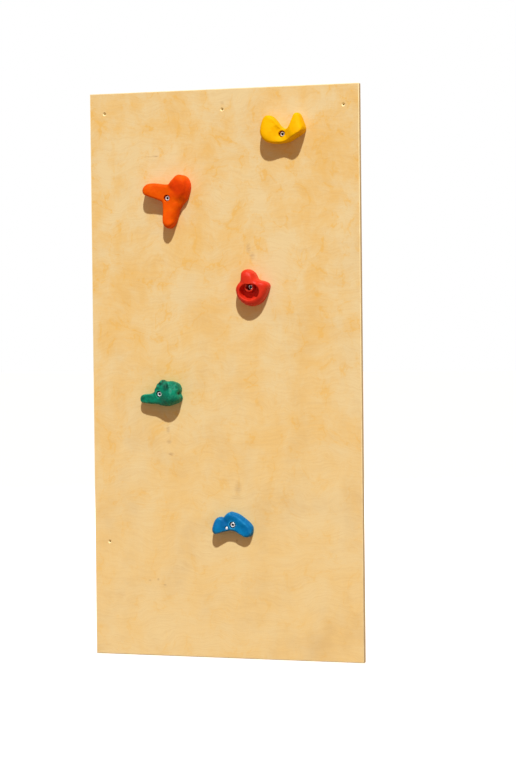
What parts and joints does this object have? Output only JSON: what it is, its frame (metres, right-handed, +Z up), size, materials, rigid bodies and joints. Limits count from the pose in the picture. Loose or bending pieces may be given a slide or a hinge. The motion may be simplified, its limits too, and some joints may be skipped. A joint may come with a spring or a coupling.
{
  "type": "rock climbing wall",
  "caption": "Upright plywood climbing panel with coloured resin holds, each clamped by a cap screw into a T-nut; screws to a wall.",
  "frame": {"origin": "middle of the sheet's bottom edge, half way through its thickness", "axes": "+Z up the sheet, +Y out of its back toward the wall, +X to the right seen from the climbing side"},
  "size_m": [0.755, 0.0685, 1.52],
  "materials": {
    "birch_ply": "clear satin",
    "resin_yellow": "cast, fine grain",
    "resin_orange": "cast, fine grain",
    "resin_red": "cast, fine grain",
    "resin_green": "cast, fine grain",
    "resin_blue": "cast, fine grain",
    "plated_screw": "bright zinc",
    "zinc_steel": "zinc plated"
  },
  "bodies": {
    "panel": {"plywood_panel": "birch_ply", "t_nut_yellow": "zinc_steel", "t_nut_orange": "zinc_steel", "t_nut_red": "zinc_steel", "t_nut_green": "zinc_steel", "t_nut_blue": "zinc_steel", "hold_blue": "resin_blue", "lock_screw_blue": "zinc_steel"},
    "hold_yellow": {"hold_yellow": "resin_yellow"},
    "washer_yellow": {"washer_yellow": "zinc_steel"},
    "bolt_yellow": {"bolt_yellow": "plated_screw"},
    "hold_orange": {"hold_orange": "resin_orange"},
    "washer_orange": {"washer_orange": "zinc_steel"},
    "bolt_orange": {"bolt_orange": "plated_screw"},
    "hold_red": {"hold_red": "resin_red"},
    "washer_red": {"washer_red": "zinc_steel"},
    "bolt_red": {"bolt_red": "plated_screw"},
    "hold_green": {"hold_green": "resin_green"},
    "washer_green": {"washer_green": "zinc_steel"},
    "bolt_green": {"bolt_green": "plated_screw"},
    "washer_blue": {"washer_blue": "zinc_steel"},
    "bolt_blue": {"bolt_blue": "plated_screw"}
  },
  "joints": [
    {"name": "hold_yellow_turn", "type": "hinge", "parent": "panel", "child": "hold_yellow", "pos_m": [0.174, -0.009, 1.392], "axis": [0, -1, 0], "continuous": true},
    {"name": "washer_yellow_out", "type": "slide", "parent": "panel", "child": "washer_yellow", "axis": [0, -1, 0], "range_m": [0, 0.01125]},
    {"name": "bolt_yellow_spin", "type": "hinge", "parent": "washer_yellow", "child": "bolt_yellow", "pos_m": [0.174, -0.009, 1.392], "axis": [0, -1, 0], "range_deg": [0, 3240.1]},
    {"name": "hold_orange_turn", "type": "hinge", "parent": "panel", "child": "hold_orange", "pos_m": [-0.148, -0.009, 1.232], "axis": [0, -1, 0], "continuous": true},
    {"name": "washer_orange_out", "type": "slide", "parent": "panel", "child": "washer_orange", "axis": [0, -1, 0], "range_m": [0, 0.01125]},
    {"name": "bolt_orange_spin", "type": "hinge", "parent": "washer_orange", "child": "bolt_orange", "pos_m": [-0.148, -0.009, 1.232], "axis": [0, -1, 0], "range_deg": [0, 3240.1]},
    {"name": "hold_red_turn", "type": "hinge", "parent": "panel", "child": "hold_red", "pos_m": [0.08, -0.009, 0.991], "axis": [0, -1, 0], "continuous": true},
    {"name": "washer_red_out", "type": "slide", "parent": "panel", "child": "washer_red", "axis": [0, -1, 0], "range_m": [0, 0.01125]},
    {"name": "bolt_red_spin", "type": "hinge", "parent": "washer_red", "child": "bolt_red", "pos_m": [0.08, -0.009, 0.991], "axis": [0, -1, 0], "range_deg": [0, 3240.1]},
    {"name": "hold_green_turn", "type": "hinge", "parent": "panel", "child": "hold_green", "pos_m": [-0.175, -0.009, 0.708], "axis": [0, -1, 0], "continuous": true},
    {"name": "washer_green_out", "type": "slide", "parent": "panel", "child": "washer_green", "axis": [0, -1, 0], "range_m": [0, 0.01125]},
    {"name": "bolt_green_spin", "type": "hinge", "parent": "washer_green", "child": "bolt_green", "pos_m": [-0.175, -0.009, 0.708], "axis": [0, -1, 0], "range_deg": [0, 3240.1]},
    {"name": "washer_blue_out", "type": "slide", "parent": "panel", "child": "washer_blue", "axis": [0, -1, 0], "range_m": [0, 0.01125]},
    {"name": "bolt_blue_spin", "type": "hinge", "parent": "washer_blue", "child": "bolt_blue", "pos_m": [0.026, -0.009, 0.36], "axis": [0, -1, 0], "range_deg": [0, 3240.1]}
  ],
  "couplings": [
    {"joint": "bolt_yellow_spin", "follows": "washer_yellow_out", "rad_per_m": 5026.5},
    {"joint": "bolt_orange_spin", "follows": "washer_orange_out", "rad_per_m": 5026.5},
    {"joint": "bolt_red_spin", "follows": "washer_red_out", "rad_per_m": 5026.5},
    {"joint": "bolt_green_spin", "follows": "washer_green_out", "rad_per_m": 5026.5},
    {"joint": "bolt_blue_spin", "follows": "washer_blue_out", "rad_per_m": 5026.5}
  ]
}
